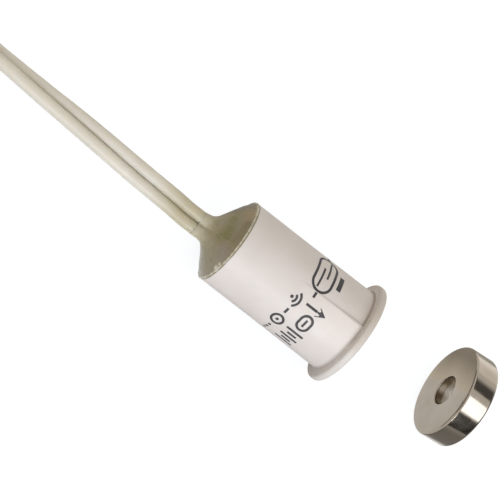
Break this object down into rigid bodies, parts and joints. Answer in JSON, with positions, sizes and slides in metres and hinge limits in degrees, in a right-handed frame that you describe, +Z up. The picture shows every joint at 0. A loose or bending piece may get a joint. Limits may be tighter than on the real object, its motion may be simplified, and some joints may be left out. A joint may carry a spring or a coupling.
{
  "type": "recessed magnetic contact",
  "caption": "Press-in reed switch potted in a flanged plastic cup, with twin leads in a tied coil and a separate plated ring magnet.",
  "frame": {"origin": "centre of the flange's seating face, on the barrel's axis", "axes": "+X horizontal from the resin end toward the nose and the magnet, +Z up; the switch lies as it comes to rest, its axis 4 degrees nose-up"},
  "size_m": [0.0829, 0.023, 0.0113],
  "materials": {
    "cup_plastic": "warm ivory moulded plastic with a soft sheen and small black print",
    "resin": "olive potting resin, glossy and slightly translucent",
    "capsule_glass": "clear pale green glass",
    "reed_alloy": "drawn and pressed nickel iron wire",
    "tinned_copper": "stranded conductor, tinned",
    "solder": "smooth solder",
    "lead_sheath": "cream PVC insulation, slightly waxy",
    "tie_nylon": "natural white nylon",
    "magnet_plating": "bright nickel plating with fine marks from handling"
  },
  "bodies": {
    "switch": {"housing": "cup_plastic", "potting": "resin", "reed_glass": "capsule_glass", "front_lead": "reed_alloy", "rear_lead": "reed_alloy", "core_a": "tinned_copper", "core_b": "tinned_copper", "solder_a": "solder", "solder_b": "solder", "wire_a": "lead_sheath", "wire_b": "lead_sheath", "lead_coil": "lead_sheath", "coil_tie": "tie_nylon", "wire_a_tip": "tinned_copper", "wire_b_tip": "tinned_copper"},
    "front_reed": {"front_blade": "reed_alloy"},
    "rear_reed": {"rear_blade": "reed_alloy"},
    "magnet": {"magnet": "magnet_plating"}
  },
  "joints": [
    {"name": "magnet_approach", "type": "slide", "parent": "switch", "child": "magnet", "axis": [-0.9881, -0.1538, 0], "range_m": [-0.012, 0.01]},
    {"name": "front_reed_flex", "type": "hinge", "parent": "switch", "child": "front_reed", "pos_m": [-0.00246, 0.00015, 0.00077], "axis": [0, -1, 0], "range_deg": [0, 0.8], "stiffness_Nm_per_rad": 0.0004},
    {"name": "rear_reed_flex", "type": "hinge", "parent": "switch", "child": "rear_reed", "pos_m": [-0.01012, 0.00015, -0.0001], "axis": [0, -1, 0], "range_deg": [0, 0.8], "stiffness_Nm_per_rad": 0.0004}
  ],
  "couplings": [
    {"joint": "rear_reed_flex", "follows": "front_reed_flex", "ratio": 1}
  ]
}
